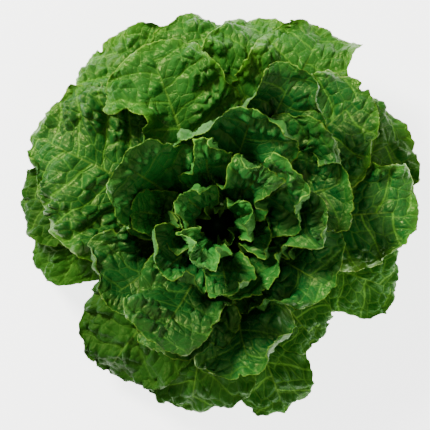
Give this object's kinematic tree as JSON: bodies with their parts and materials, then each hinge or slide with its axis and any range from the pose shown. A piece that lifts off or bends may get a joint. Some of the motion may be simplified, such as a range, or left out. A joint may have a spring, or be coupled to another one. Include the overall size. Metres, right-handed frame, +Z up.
{
  "type": "head of lettuce",
  "caption": "Open head of cos lettuce standing upright: broad crinkled green leaves in a rosette around a short cut stem.",
  "frame": {"origin": "centre of the stem's cut face, on the surface the head stands on", "axes": "+Z up along the stem towards the heart; the plane Z = 0 is the surface it stands on"},
  "size_m": [0.3026, 0.3068, 0.1938],
  "materials": {
    "low_leaves": "satin",
    "outer_leaves": "satin",
    "middle_leaves": "satin",
    "inner_leaves": "satin",
    "heart_leaves": "satin",
    "stem": "satin"
  },
  "bodies": {
    "root": {"stem": "stem", "low_leaf_1": "low_leaves", "low_leaf_2": "low_leaves", "low_leaf_3": "low_leaves", "low_leaf_4": "low_leaves", "low_leaf_5": "low_leaves", "low_leaf_6": "low_leaves", "low_leaf_7": "low_leaves", "low_leaf_8": "low_leaves", "outer_leaf_1": "outer_leaves", "outer_leaf_2": "outer_leaves", "outer_leaf_3": "outer_leaves", "outer_leaf_4": "outer_leaves", "outer_leaf_5": "outer_leaves", "outer_leaf_6": "outer_leaves", "outer_leaf_7": "outer_leaves", "outer_leaf_8": "outer_leaves", "outer_leaf_9": "outer_leaves", "middle_leaf_1": "middle_leaves", "middle_leaf_2": "middle_leaves", "middle_leaf_3": "middle_leaves", "middle_leaf_4": "middle_leaves", "middle_leaf_5": "middle_leaves", "middle_leaf_6": "middle_leaves", "middle_leaf_7": "middle_leaves", "inner_leaf_1": "inner_leaves", "inner_leaf_2": "inner_leaves", "inner_leaf_3": "inner_leaves", "inner_leaf_4": "inner_leaves", "inner_leaf_5": "inner_leaves", "inner_leaf_6": "inner_leaves", "crown_leaf_1": "inner_leaves", "crown_leaf_2": "inner_leaves", "crown_leaf_3": "inner_leaves", "crown_leaf_4": "inner_leaves", "crown_leaf_5": "inner_leaves", "crown_leaf_6": "inner_leaves", "crown_leaf_7": "inner_leaves", "heart_leaf_1": "heart_leaves", "heart_leaf_2": "heart_leaves", "heart_leaf_3": "heart_leaves", "heart_leaf_4": "heart_leaves", "heart_leaf_5": "heart_leaves"}
  },
  "joints": []
}
